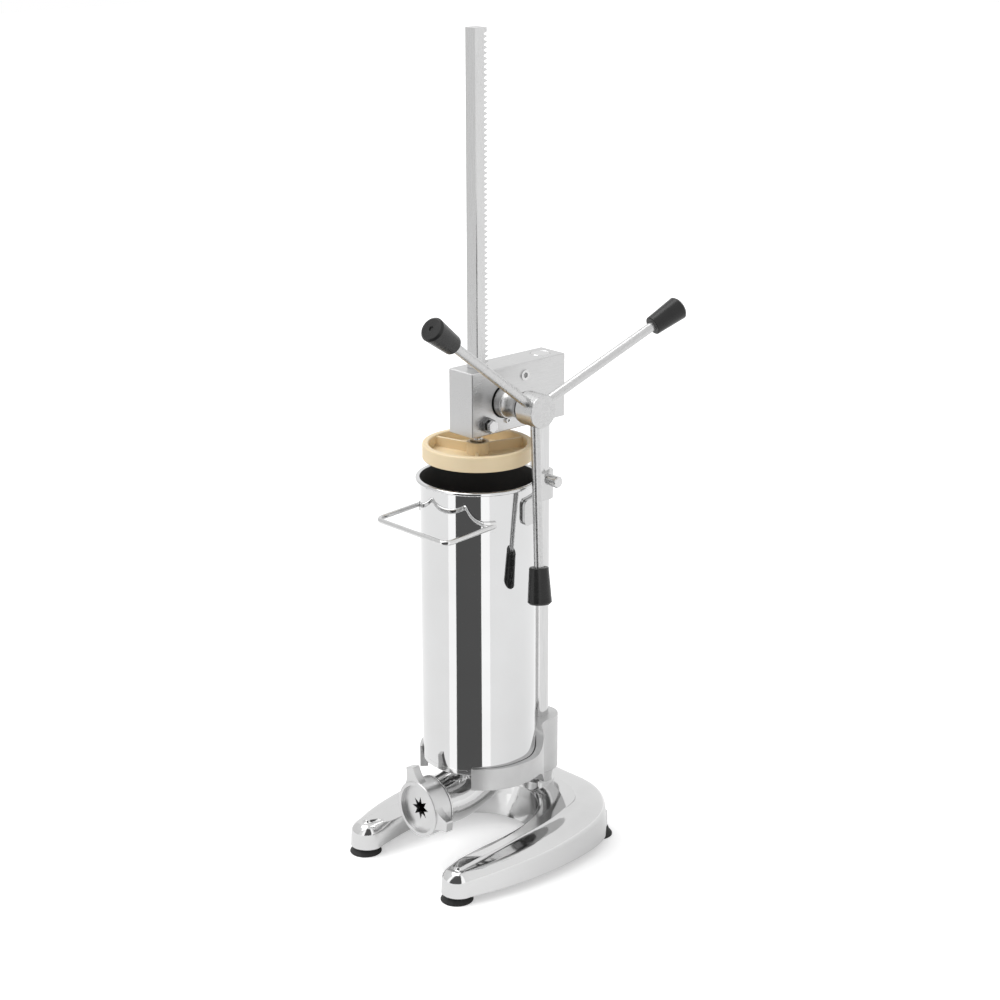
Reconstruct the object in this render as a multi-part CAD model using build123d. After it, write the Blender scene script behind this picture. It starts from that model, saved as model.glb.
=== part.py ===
from build123d import *
import math
import os

# Hand-wound churro maker: a dough cylinder held on a column, and a toothed
# bar (rack) that a three-armed handle winds down into it.
# Millimetres, +Z up, the nozzle faces -Y and the handle is on the +X side.
# While it is built, the cylinder's axis is x = y = 0 and the floor is z = 0.

# ---- overall ---------------------------------------------------------------
overall_height = 830.0        # floor to the top of the rack, rack wound up
gap = 0.3                     # clearance between pieces that move past each other
running = 0.05                # radial clearance of a shaft in its bush

# ---- dough cylinder --------------------------------------------------------
tube_radius = 57.0
tube_wall = 2.0
tube_bottom = 110.0
tube_length = 290.5
lip_radius = 61.4             # rolled rim
lip_height = 3.5
mouth_flare = 2.0             # how far the inside opens out at the rim
flange_height = 5.0           # flange of the spout under the tube
funnel_radius = 50.0
spout_wall = 3.5
spout_axis_z = 68.5           # height of the nozzle's axis
nozzle_radius = 25.85
nozzle_front = 74.2           # cylinder axis to the nozzle's front end
nozzle_length = 14.0          # threaded stretch
nozzle_ring_radius = 28.7     # shoulder ring just behind the cap
nozzle_ring_gap = 0.8
nozzle_ring_width = 2.0

# ---- die and cap -----------------------------------------------------------
seal_thickness = 1.5
die_thickness = 4.0
die_radius = 25.8
star_points = 8
star_outer = 12.0
star_inner = 5.9
cap_radius = 28.7
cap_clearance = 0.35
cap_lip_radius = 24.5
cap_lip_depth = 4.5
cap_length = 20.5
lug_reach = 43.5              # cap's axis to the end of a finger lug
lug_angles = (106, -7)        # from +X towards +Z
lug_half_width = 5.8
lug_set_back = 1.2            # cap's front to a lug's front
lug_thickness = 8.0

# ---- wire handle on the cylinder -------------------------------------------
wire_diameter = 5.0
wire_half_width = 51.0
wire_reach = 87.0             # cylinder axis to the crossbar
wire_drop = 34.5              # tube's top down to the wire's ends
wire_sag = 4.0                # wire's ends down to the crossbar
wire_bend = 8.0
tab_thickness = 2.0
tab_height = 10.0
tab_half_angle = 6.0
tab_angle = 31.0              # below +X, towards the front

# ---- column, cradle, saddle ------------------------------------------------
column_radius = 10.0
column_y = 83.0               # cylinder axis to column axis
socket_radius = 20.0
socket_bottom = 66.0
socket_top = 124.0
cradle_bottom = 90.5
cradle_top = 113.0
cradle_radius = 63.0
cradle_shift = 3.5            # the outside is centred this far behind the seat
cradle_blend = 25.0           # concave corners between ring and socket
cradle_screw_z = 100.0
cradle_opening = 40.0         # half angle of the open front
ledge_width = 4.5
cradle_clearance = 0.6
collar_radius = 13.8          # at the foot of the tapered collar
collar_top_radius = 16.2
bolt_radius = 5.0
saddle_drop = 40.5            # tube's top down to the saddle's underside
saddle_height = 26.0
saddle_wall = 3.0
saddle_clearance = 0.4
saddle_end = 6.0              # strap ends this far behind the +X direction
clamp_radius = 14.0
clamp_height = 28.0
thumb_radius = 6.0
thumb_rise = 21.0             # saddle's underside to the screw

# ---- head block and rack ---------------------------------------------------
block_width = 34.0
block_length = 123.0
block_height = 64.0
block_rise = 108.0            # tube's top to the block's top
block_front = 22.0            # rack centre to the block's front face
rack_width = 15.0             # along X
rack_depth = 14.0             # along Y, over the tooth tips
rack_rise = 46.5              # tube's top to the rack's lower end, rack wound up
rack_thread = 20.0            # depth of the threaded hole in that end
tooth_module = 1.6
pinion_teeth = 18
pressure_angle = 20.0
backlash = 0.3
shaft_drop = 33.5             # block's top down to the shaft
shaft_radius = 9.5
bush_radius = 17.0
bush_length = 9.0
bush_set_in = 0.8
stud_radius = 4.0             # pressure bolt, oil plug, lock screws
lock_hex = 14.0

# ---- plunger ---------------------------------------------------------------
plunger_radius = 54.2
plunger_rise = 18.2           # tube's top to the disc's underside, rack wound up
plunger_height = 15.3
plunger_floor = 4.0
plunger_rim = 6.2
plunger_hub_radius = 11.0
plunger_hub_height = 16.2
hub_recess = 3.5
rib_thickness = 3.2
rib_first_angle = 75.0
low_rib = 3.0                 # height of the third rib over the floor
plunger_bolt_radius = 3.0

# ---- three-armed handle ----------------------------------------------------
collar_length = 29.5
ring_radius = 15.5
waist_radius = 12.6
hub_radius = 16.4
hub_length = 23.0
hub_gap = 2.0
spoke_radius = 4.75
spoke_reach = 187.0           # shaft axis to the end of a knob
spoke_lean = 8.0              # outward lean of the arms
spoke_from_end = 12.0         # arms' plane behind the hub's end face
spoke_first_angle = 24.5      # from +Y towards +Z
knob_length = 36.0
knob_small = 9.5
knob_large = 12.0
knob_depth = 22.0             # how far an arm goes into its knob

# ---- base ------------------------------------------------------------------
base_width = 206.0
base_front = 91.6             # cylinder axis to the centre of an arm's tip
base_rear = 127.0
base_bottom = 8.0
base_rise = 34.0              # height above base_bottom at the cylinder axis
base_slope = 4.8              # the top rises towards the rear, degrees
arm_centre = 0.342 * base_width
arm_radius = 17.5             # round end of an arm
arm_width = 39.0              # beside the cylinder
opening_rear = 56.0           # rear of the opening behind the cylinder axis
lip_overhang = 10.0           # the opening is narrower at the top of its wall
foot_radius = 16.3
foot_top_radius = 12.5
foot_inset = 40.5             # rear foot in from the base's side
foot_rear_inset = 19.5
boss_radius = 11.0
boss_height = 17.0
column_boss_radius = 17.0
column_boss_top = 51.8
column_roof = 34.0            # underside of the column's boss
foot_screw_radius = 3.0
foot_cup = 4.5                # depth of the cup under a foot

BASE = (Align.CENTER, Align.CENTER, Align.MIN)

# worked out from the sizes above
tube_top = tube_bottom + tube_length
tube_inner = tube_radius - tube_wall
wire_root_z = tube_top - wire_drop
wire_bar_z = wire_root_z - wire_sag
saddle_bottom = tube_top - saddle_drop
thumb_z = saddle_bottom + thumb_rise
block_top = tube_top + block_rise
shaft_z = block_top - shaft_drop
rack_bottom = tube_top + rack_rise
plunger_bottom = tube_top + plunger_rise
plunger_hub_top = plunger_bottom + plunger_hub_height
flange_bottom = tube_bottom - flange_height
block_bottom = block_top - block_height
half_block = block_width / 2
block_rear = block_length - block_front
tooth_pitch = math.pi * tooth_module
pitch_radius = tooth_module * pinion_teeth / 2
pitch_line = rack_depth / 2 - tooth_module
shaft_y = pitch_line + pitch_radius
root_depth = 1.25 * tooth_module
collar_start = half_block + gap
collar_end = collar_start + collar_length
hub_start = collar_end + hub_gap
hub_end = hub_start + hub_length
spoke_x = hub_end - spoke_from_end
die_front = nozzle_front + seal_thickness + die_thickness
cap_front = die_front + cap_lip_depth
cap_rear = cap_front - cap_length
opening_half = base_width / 2 - arm_width
lip_half = opening_half - lip_overhang
front_foot = (arm_centre, -base_front - 2.4)
rear_foot = (base_width / 2 - foot_inset, base_rear - foot_rear_inset)

pieces = {}


def upright(radius, bottom, top, x=0.0, y=0.0):
    """Upright cylinder between two heights."""
    return Pos(x, y, bottom) * Cylinder(radius, top - bottom, align=BASE)


def ring(outer, inner, bottom, top, x=0.0, y=0.0):
    """Upright tube or washer."""
    return upright(outer, bottom, top, x, y) - upright(inner, bottom - 1, top + 1, x, y)


def rod_x(radius, start, end, y, z):
    """Cylinder along X."""
    return Pos(start, y, z) * Rot(0, 90, 0) * Cylinder(radius, end - start, align=BASE)


def rod_y(radius, start, end, x, z):
    """Cylinder along Y."""
    return Pos(x, start, z) * Rot(-90, 0, 0) * Cylinder(radius, end - start, align=BASE)


def hexagon(flats):
    return RegularPolygon(radius=flats / 2, side_count=6, major_radius=False)


def hex_x(flats, start, end, y, z):
    """Hexagonal head or nut along X."""
    return Pos(start, y, z) * Rot(0, 90, 0) * extrude(hexagon(flats), amount=end - start)


def hex_z(flats, bottom, top, x, y):
    return Pos(x, y, bottom) * extrude(hexagon(flats), amount=top - bottom)


def socket_head_x(radius, start, end, y, z):
    """Round screw head along X with a hexagon socket in its face."""
    head = rod_x(radius, start, end, y, z)
    return head - hex_x(radius, end - radius * 0.6, end + 1, y, z)


# ---- base and feet ---------------------------------------------------------
def mirror_points(points):
    """The same points on the other side, in reverse order."""
    return [(-x, y) for x, y in reversed(points)]


def base_level(share, outline):
    """Face inside an outline, across the base at a share of its height, tilted as its top is."""
    tilt = math.radians(base_slope * share)
    level = Plane(origin=(0, 0, base_bottom + share * base_rise), x_dir=(1, 0, 0),
                  z_dir=(0, -math.sin(tilt), math.cos(tilt)))
    return level * make_face(outline)


def base_section(share, outer, side, rear, tip):
    """Horseshoe at a share of the base's height.

    It is drawn in by outer from outside and by tip round the arms' ends; side and rear
    widen the opening beside and behind the cylinder.
    """
    half = base_width / 2 - outer
    radius = arm_radius - tip
    outer_half = [
        (arm_centre + radius, -base_front),
        (half - 5.5 + outer * 0.25, -0.59 * base_front),
        (half, 0),
        (half - 3.5, 0.43 * base_rear),
        (half - 17 + outer * 0.2, 0.76 * base_rear - outer * 0.6),
        (half * 0.5, base_rear - 3.5 - outer * 0.97),
    ]
    outside = Spline(outer_half + [(0, base_rear - outer)] + mirror_points(outer_half))
    beside = opening_half + side
    inner_half = [
        (arm_centre - radius, -base_front),
        (beside - 0.5, -0.45 * base_front),
        (beside, -8),
        (beside * 0.71, 0.67 * opening_rear + rear * 0.7),
    ]
    inside = Spline(inner_half + [(0, opening_rear + rear)] + mirror_points(inner_half))
    tips = [ThreePointArc((sx * (arm_centre - radius), -base_front),
                          (sx * arm_centre, -base_front - radius),
                          (sx * (arm_centre + radius), -base_front)) for sx in (1, -1)]
    return base_level(share, Curve() + [outside, inside] + tips)


def dish_section(share, grow):
    """The opening's lip, widened by grow: the top slopes down to the opening inside it."""
    right = [
        (lip_half - 2 + grow * 0.3, -0.96 * base_front),
        (lip_half + 3 + grow * 0.82, -0.68 * base_front),
        (lip_half + grow * 1.28, 0.13 * base_front),
        (lip_half * 0.75 + grow * 1.65, 0.85 * opening_rear + grow * 0.35),
        (lip_half * 0.45 + grow * 1.5, opening_rear + 7 + grow * 0.3),
    ]
    edge = Spline(right + [(0, opening_rear + 11 + grow * 0.9)] + mirror_points(right))
    return base_level(share, Curve() + [edge, Line(edge @ 1, edge @ 0)])


def make_base():
    """Hollow polished casting, open to the front and underneath."""
    shoulder = base_section(0.62, 1.0, -6.8, 7.2, 1.0)
    walls = loft([base_section(0.0, 0.0, 0.0, 0.0, 0.0), shoulder], ruled=True)
    top = loft([shoulder, base_section(0.74, 1.9, -7.8, 8.4, 2.2), base_section(0.84, 4.2, -8.6, 9.4, 4.4),
                base_section(0.93, 11.0, -9.0, 10.4, 8.0), base_section(1.03, 32.0, -9.0, 11.0, 14.0)])
    body = walls + top - loft([dish_section(0.87, 0.0), dish_section(1.11, 32.0)], ruled=True)
    cavity = loft([base_section(-0.1, 4.0, 4.0, 4.0, 4.0), base_section(0.45, 6.0, 1.0, 8.0, 5.0),
                   base_section(0.7, 10.0, -3.0, 12.0, 8.0)], ruled=True)
    body = body - cavity
    for x, y in foot_places():
        body = body + upright(boss_radius, base_bottom, base_bottom + boss_height, x, y)
    body = body + upright(column_boss_radius, column_roof, column_boss_top, 0, column_y)
    body = body - upright(bolt_radius + gap, 0, column_boss_top + 1, 0, column_y)
    for x, y in foot_places():
        body = body - upright(foot_screw_radius, 0, base_bottom + boss_height - 4, x, y)
    return body


def foot_places():
    return [(sx * x, y) for x, y in (front_foot, rear_foot) for sx in (-1, 1)]


def make_foot(x, y):
    """Rubber suction foot: a flared cup with its screw hole."""
    side = Spline([(foot_radius, 1.0), (foot_radius - 1.2, 3.2), (foot_top_radius, base_bottom)],
                  tangents=[(-0.2, 1), (-1, 1)])
    profile = Polyline([(foot_top_radius, base_bottom), (foot_screw_radius, base_bottom),
                        (foot_screw_radius, foot_cup), (foot_radius * 0.6, foot_cup),
                        (foot_radius - 3.5, 0), (foot_radius - 0.6, 0), (foot_radius, 1.0)])
    section = Plane.XZ * make_face(Curve() + [side, profile])
    return Pos(x, y, 0) * revolve(section, Axis.Z)


def make_foot_screws():
    """Four screws from inside the feet's cups up into the base."""
    screws = []
    for x, y in foot_places():
        head = upright(foot_screw_radius * 1.8, foot_cup - 2.5, foot_cup, x, y)
        head = head - upright(foot_screw_radius * 0.5, 0, foot_cup - 1.3, x, y)
        shank_top = base_bottom + boss_height - 4
        screws.append(head + upright(foot_screw_radius, foot_cup, shank_top, x, y))
    return Compound(screws)


pieces["base_casting"] = make_base()
foot_names = ["foot_front_left", "foot_front_right", "foot_rear_left", "foot_rear_right"]
for name, (x, y) in zip(foot_names, foot_places()):
    pieces[name] = make_foot(x, y)
pieces["foot_screws"] = make_foot_screws()


# ---- column and its bolt ---------------------------------------------------
bolt_top = socket_bottom + 24
washer_bottom = column_roof - 2
collar_cone = Cone(collar_radius, collar_top_radius, socket_bottom - column_boss_top, align=BASE)
pieces["base_collar"] = (Pos(0, column_y, column_boss_top) * collar_cone
                         - upright(bolt_radius + gap, column_boss_top - 1, socket_bottom + 1, 0, column_y))
column = upright(column_radius, socket_bottom, block_top, 0, column_y)
column = chamfer(column.edges().filter_by(GeomType.CIRCLE).sort_by(Axis.Z)[-1], 0.8)
pieces["column"] = column - upright(bolt_radius, socket_bottom - 1, bolt_top + 2, 0, column_y)
pieces["column_bolt"] = (upright(bolt_radius, washer_bottom, bolt_top, 0, column_y)
                         + hex_z(17, washer_bottom - 6.5, washer_bottom, 0, column_y))
pieces["base_washer"] = ring(10.5, bolt_radius, washer_bottom, column_roof, 0, column_y)


# ---- cradle ----------------------------------------------------------------
def cradle_plan():
    """Ring and socket from above, joined by two concave arcs."""
    reach = cradle_radius + cradle_blend
    near = socket_radius + cradle_blend
    apart = column_y - cradle_shift
    along = (reach ** 2 - near ** 2 + apart ** 2) / (2 * apart)
    centre = Vector(math.sqrt(reach ** 2 - along ** 2), cradle_shift + along)
    on_ring = Vector(0, cradle_shift) + (centre - Vector(0, cradle_shift)) * (cradle_radius / reach)
    on_socket = Vector(0, column_y) + (centre - Vector(0, column_y)) * (socket_radius / near)
    middle = (on_ring + on_socket) * 0.5
    waist = centre + (middle - centre).normalized() * cradle_blend

    def left(point):
        return (-point.X, point.Y)

    front = ThreePointArc(on_ring, (0, cradle_shift - cradle_radius), left(on_ring))
    back = ThreePointArc(on_socket, (0, column_y + socket_radius), left(on_socket))
    sides = [ThreePointArc(on_ring, waist, on_socket),
             ThreePointArc(left(on_ring), left(waist), left(on_socket))]
    return make_face(Curve() + [front, back] + sides)


def make_cradle():
    """Ring, open at the front, that the cylinder stands in, with the column's socket."""
    solid = extrude(cradle_plan(), amount=overall_height)
    start = -cradle_radius * 1.2
    end = column_y + socket_radius + 1
    over = Spline([(0, cradle_top), (column_y * 0.45, cradle_top + 2), (column_y - 24, socket_top)],
                  tangents=[(1, 0), (1, 0)])
    under = Spline([(column_y * 0.3, cradle_bottom), (column_y - 20, socket_bottom)],
                   tangents=[(1, 0), (1, 0)])
    rest = [Line((start, cradle_top), over @ 0), Line(over @ 1, (end, socket_top)),
            Line((end, socket_top), (end, socket_bottom)), Line((end, socket_bottom), under @ 1),
            Line(under @ 0, (start, cradle_bottom)), Line((start, cradle_bottom), (start, cradle_top))]
    side = Plane.YZ * make_face(Curve() + [over, under] + rest)
    body = solid & extrude(side, amount=cradle_radius * 2, both=True)
    seat = tube_radius + cradle_clearance
    body = body - upright(seat, flange_bottom, socket_top + 1)
    body = body - upright(seat - ledge_width - cradle_clearance, 0, socket_top)
    mouth = cradle_radius * 2
    reach = math.radians(90 - cradle_opening)
    wedge = Polyline([(0, 0), (-mouth * math.cos(reach), -mouth * math.sin(reach)),
                      (0, -mouth * 1.5), (mouth * math.cos(reach), -mouth * math.sin(reach))], close=True)
    body = body - extrude(make_face(wedge), amount=socket_top + 5)
    body = body - upright(column_radius, 0, socket_top + 1, 0, column_y)
    return body - rod_y(stud_radius, column_y, end, 0, cradle_screw_z)


socket_rear = column_y + socket_radius
pieces["cradle_casting"] = make_cradle()
pieces["socket_screw"] = (rod_y(stud_radius, column_y + column_radius, socket_rear + 0.5, 0, cradle_screw_z)
                          - rod_y(stud_radius / 2, socket_rear - 3, socket_rear + 1, 0, cradle_screw_z))


# ---- cylinder, spout, wire handle ------------------------------------------
def make_tube():
    """Stainless tube with a rolled rim and a slightly opened mouth."""
    profile = Polyline([(tube_inner, tube_bottom), (tube_radius, tube_bottom),
                        (tube_radius, tube_top - lip_height), (lip_radius, tube_top - lip_height),
                        (lip_radius, tube_top), (tube_inner + mouth_flare, tube_top),
                        (tube_inner, tube_top - 2 * mouth_flare)], close=True)
    tube = revolve(Plane.XZ * make_face(profile), Axis.Z)
    rim = [e for e in tube.edges().filter_by(GeomType.CIRCLE) if abs(e.radius - lip_radius) < 0.01]
    return fillet(rim, lip_height * 0.4)


def spout_section(y, z, lean, radius):
    """Round section of the spout; lean 0 faces down and 90 faces the front."""
    a = math.radians(lean)
    plane = Plane(origin=(0, y, z), x_dir=(1, 0, 0), z_dir=(0, -math.sin(a), -math.cos(a)))
    return plane * Circle(radius)


def spout_form(shrink):
    """Funnel that narrows and turns forward into the nozzle."""
    turn_end = nozzle_length + 8 - nozzle_front
    return loft([spout_section(0, flange_bottom + 2, 0, funnel_radius - shrink),
                 spout_section(-8, flange_bottom - 21, 35, 31.5 - shrink),
                 spout_section(-30, spout_axis_z + 2, 75, 26.5 - shrink),
                 spout_section(turn_end, spout_axis_z, 90, 25 - shrink)])


def make_spout():
    """Aluminium casting: flange, funnel, elbow and threaded nozzle."""
    turn_end = nozzle_length + 8 - nozzle_front
    thread_end = nozzle_length - nozzle_front
    body = upright(tube_radius, flange_bottom, tube_bottom) + spout_form(0)
    body = body + rod_y(25, thread_end - 1, turn_end + 1, 0, spout_axis_z)
    body = body + rod_y(nozzle_radius, -nozzle_front, thread_end, 0, spout_axis_z)
    ring_start = nozzle_ring_gap - cap_rear
    body = body + rod_y(nozzle_ring_radius, ring_start, ring_start + nozzle_ring_width, 0, spout_axis_z)
    body = body - spout_form(spout_wall)
    mouth = Pos(0, 0, flange_bottom + 1.5) * Cone(funnel_radius - spout_wall - 0.5, tube_inner - 0.5,
                                                  flange_height, align=BASE)
    body = body - mouth
    return body - rod_y(25 - spout_wall, -nozzle_front - 1, turn_end + 1, 0, spout_axis_z)


def make_wire():
    """Bent wire loop; its two ends meet the tabs on the cylinder."""
    root_y = -20.0
    path = FilletPolyline((-wire_half_width, root_y, wire_root_z),
                          (-wire_half_width, -wire_reach, wire_bar_z),
                          (wire_half_width, -wire_reach, wire_bar_z),
                          (wire_half_width, root_y, wire_root_z), radius=wire_bend)
    section = Plane(origin=path @ 0, z_dir=path % 0) * Circle(wire_diameter / 2)
    wire = sweep(section, path=path)
    return wire - upright(tube_radius + tab_thickness, tube_bottom, tube_top)


def make_tabs():
    """Two small plates, bent to the cylinder, that carry the wire's ends."""
    shell = ring(tube_radius + tab_thickness, tube_radius, wire_root_z - tab_height / 2 - 0.6,
                 wire_root_z + tab_height / 2 - 0.6)
    tabs = []
    for side in (1, -1):
        a0 = math.radians(-tab_angle - tab_half_angle)
        a1 = math.radians(-tab_angle + tab_half_angle)
        far = tube_radius * 1.5
        wedge = Polyline([(0, 0), (side * far * math.cos(a0), far * math.sin(a0)),
                          (side * far * math.cos(a1), far * math.sin(a1))], close=True)
        tabs.append(shell & extrude(make_face(wedge), amount=tube_top))
    return Compound([t.solids()[0] for t in tabs])


pieces["cylinder_tube"] = make_tube()
pieces["spout_casting"] = make_spout()
pieces["wire_handle"] = make_wire()
pieces["handle_tabs"] = make_tabs()


# ---- die, seal and cap -----------------------------------------------------
def star():
    """Star hole with its points outwards."""
    points = []
    for i in range(2 * star_points):
        radius = star_outer if i % 2 == 0 else star_inner
        a = math.pi * i / star_points + math.pi / 2
        points.append((radius * math.cos(a), radius * math.sin(a)))
    return make_face(Polyline(points, close=True))


def make_die():
    plate = rod_y(die_radius, -die_front, -(die_front - die_thickness), 0, spout_axis_z)
    through = extrude(star(), amount=-die_thickness - 2)
    hole = Pos(0, -(die_front + 1), spout_axis_z) * Rot(90, 0, 0) * through
    return plate - hole


def lug_outline():
    """Finger lug along +X, blending into the cap's round with concave sides."""
    a = math.radians(30)
    root = ((cap_radius - 0.3) * math.cos(a), (cap_radius - 0.3) * math.sin(a))
    side = Spline([root, (cap_radius + 3, lug_half_width + 2.6), (lug_reach - 1, lug_half_width)],
                  tangents=[(math.sin(a), -math.cos(a)), (1, -0.05)])
    other = mirror(side, about=Plane.XZ)
    ends = [Line(side @ 1, (lug_reach, lug_half_width - 1)),
            Line((lug_reach, lug_half_width - 1), (lug_reach, 1 - lug_half_width)),
            Line((lug_reach, 1 - lug_half_width), other @ 1), Line(other @ 0, side @ 0)]
    return make_face(Curve() + [side, other] + ends)


def make_cap():
    """Cap with an inner lip that holds the die, and two finger lugs to turn it by."""
    body = rod_y(cap_radius, -cap_front, -cap_rear, 0, spout_axis_z)
    front = [e for e in body.edges().filter_by(GeomType.CIRCLE) if e.center().Y < -cap_front + 0.1]
    body = fillet(front, 1.2)
    lug = extrude(lug_outline(), amount=lug_thickness)
    lug = fillet(lug.edges().filter_by(Axis.Z).sort_by(Axis.X)[-4:], 1.5)
    for angle in lug_angles:
        spin = Rot(0, -angle, 0) * Rot(90, 0, 0)
        body = body + Pos(0, lug_set_back + lug_thickness - cap_front, spout_axis_z) * spin * lug
    bore = nozzle_radius + cap_clearance
    body = body - rod_y(bore, -die_front, -cap_rear + 5, 0, spout_axis_z)
    return body - rod_y(cap_lip_radius, -cap_front - 1, -cap_rear, 0, spout_axis_z)


pieces["die_seal"] = (rod_y(die_radius, -(nozzle_front + seal_thickness), -nozzle_front, 0, spout_axis_z)
                      - rod_y(nozzle_radius - 5, -cap_front, 0, 0, spout_axis_z))
pieces["star_die"] = make_die()
pieces["nozzle_cap"] = make_cap()


# ---- upper saddle ----------------------------------------------------------
def make_saddle():
    """Strap round the back of the cylinder, on a clamp that slides on the column."""
    inner = tube_radius + saddle_clearance
    top = saddle_bottom + saddle_height
    strap = ring(inner + saddle_wall, inner, saddle_bottom, top)
    y_end = inner * math.sin(math.radians(saddle_end))
    keep = Pos(0, y_end, saddle_bottom) * Box(4 * inner, 2 * inner, saddle_height,
                                              align=(Align.CENTER, Align.MIN, Align.MIN))
    strap = strap & keep
    ends = [e for e in strap.edges().filter_by(GeomType.LINE)
            if abs(e.center().Y - y_end) < 0.1 and abs(e.tangent_at(0.5).X) > 0.9]
    strap = fillet(ends, 6.0)
    clamp_top = saddle_bottom + clamp_height
    bridge = Pos(0, inner + 1, saddle_bottom) * Box(18, column_y - inner - 1, saddle_height,
                                                    align=(Align.CENTER, Align.MIN, Align.MIN))
    body = strap + bridge + upright(clamp_radius, saddle_bottom, clamp_top, 0, column_y)
    body = body + rod_x(5.5, 0, clamp_radius + 5, column_y, thumb_z)
    body = body - upright(inner, saddle_bottom - 1, clamp_top + 1)
    body = body - upright(column_radius + running, saddle_bottom - 1, clamp_top + 1, 0, column_y)
    return body - rod_x(3.1, 0, clamp_radius + 20, column_y, thumb_z)


def make_thumb_screw():
    """Screw with a fluted round head."""
    start = clamp_radius + 5
    head = rod_x(thumb_radius, start + gap, start + 9, column_y, thumb_z)
    head = fillet(head.edges().filter_by(GeomType.CIRCLE).sort_by(Axis.X)[-1:], 2.0)
    for i in range(6):
        a = math.radians(60 * i)
        head = head - rod_x(1.5, start, start + 12, column_y + (thumb_radius + 0.4) * math.cos(a),
                            thumb_z + (thumb_radius + 0.4) * math.sin(a))
    return head + rod_x(3.0, column_radius + gap, start + gap, column_y, thumb_z)


pieces["upper_saddle"] = make_saddle()
pieces["saddle_screw"] = make_thumb_screw()


# ---- head block ------------------------------------------------------------
press_y = -3.5
press_z = shaft_z - 19.8
plug_radius = 5.2
plug_y = 46.7
plug_z = shaft_z + 20.8
keeper_radius = 1.8
keeper_y = 23.3
keeper_z = shaft_z - bush_radius - 3


def make_block():
    """Machined aluminium block: guide for the rack, bearings for the pinion, seat for the column."""
    body = Pos(0, -block_front, block_bottom) * Box(block_width, block_length, block_height,
                                                    align=(Align.CENTER, Align.MIN, Align.MIN))
    body = chamfer(body.edges(), 0.8)
    slot_width = rack_width + 2 * gap
    slot_depth = rack_depth + 2 * gap
    body = body - Box(slot_width, slot_depth, overall_height * 2)
    body = body - rod_x(bush_radius, -block_width, block_width, shaft_y, shaft_z)
    body = body - upright(column_radius, 0, block_top + 1, 0, column_y)
    countersink = Cone(column_radius, column_radius + 0.8, 0.8, align=BASE)
    body = body - Pos(0, column_y, block_top - 0.6) * countersink
    body = body - rod_x(stud_radius, 0, block_width, press_y, press_z)
    body = body - rod_x(plug_radius, half_block - 10, block_width, plug_y, plug_z)
    body = body - rod_x(keeper_radius, half_block - 8, block_width, keeper_y, keeper_z)
    return body - rod_y(stud_radius, column_y, block_rear + 5, 0, shaft_z)


pieces["head_block"] = make_block()
pieces["head_lock_screw"] = (rod_y(stud_radius, column_y + column_radius, block_rear + 0.6, 0, shaft_z)
                             - rod_y(stud_radius / 2, block_rear - 2.5, block_rear + 5, 0, shaft_z))
pad_start = rack_width / 2 + gap
pad_end = pad_start + 3.0
head_start = half_block + 6
pieces["rack_pad"] = rod_x(stud_radius - 0.1, pad_start, pad_end, press_y, press_z)
pieces["rack_pressure_bolt"] = (rod_x(stud_radius, pad_end, head_start, press_y, press_z)
                                + hex_x(stud_radius * 2.6, head_start, head_start + 4, press_y, press_z))
pieces["rack_lock_nut"] = (hex_x(lock_hex, half_block, half_block + 4.5, press_y, press_z)
                           - rod_x(stud_radius, 0, block_width, press_y, press_z))
pieces["oil_plug"] = socket_head_x(plug_radius, half_block - 9, half_block + 1.2, plug_y, plug_z)
keeper_head = socket_head_x(keeper_radius * 1.6, half_block, half_block + 2.2, keeper_y, keeper_z)
pieces["bush_screw"] = keeper_head + rod_x(keeper_radius, half_block - 7, half_block, keeper_y, keeper_z)
for name, side in (("bush_left", -1), ("bush_right", 1)):
    ends = sorted([side * (half_block - bush_length), side * (half_block - bush_set_in)])
    pieces[name] = (rod_x(bush_radius, ends[0], ends[1], shaft_y, shaft_z)
                    - rod_x(shaft_radius + running, ends[0] - 1, ends[1] + 1, shaft_y, shaft_z))


# ---- rack ------------------------------------------------------------------
def make_rack():
    """Square bar with straight-flanked teeth on its rear side."""
    slope = math.tan(math.radians(pressure_angle))
    half_tooth = (tooth_pitch / 2 - backlash) / 2
    tip = rack_depth / 2
    root = pitch_line - root_depth
    tip_half = half_tooth - tooth_module * slope
    root_half = half_tooth + root_depth * slope
    first = math.ceil((rack_bottom + tooth_pitch - shaft_z) / tooth_pitch)
    last = math.floor((overall_height - tooth_pitch - shaft_z) / tooth_pitch)
    points = [(-rack_depth / 2, rack_bottom), (root, rack_bottom)]
    for i in range(first, last + 1):
        z = shaft_z + i * tooth_pitch
        points += [(root, z - root_half), (tip, z - tip_half), (tip, z + tip_half), (root, z + root_half)]
    end_z = shaft_z + last * tooth_pitch + root_half
    points += [(root, end_z + root_half * 0.6), (tip, end_z + root_half * 1.2), (tip, overall_height),
               (-rack_depth / 2, overall_height)]
    bar = extrude(Plane.YZ * make_face(Polyline(points, close=True)), amount=rack_width / 2, both=True)
    corners = [e for e in bar.edges().filter_by(Axis.Z) if e.center().Y < -rack_depth / 2 + 0.1]
    bar = chamfer(corners, 0.8)
    return bar - upright(plunger_bolt_radius, rack_bottom - 1, rack_bottom + rack_thread)


pieces["rack"] = make_rack()


# ---- plunger ---------------------------------------------------------------
washer_radius = 7.5


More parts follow.
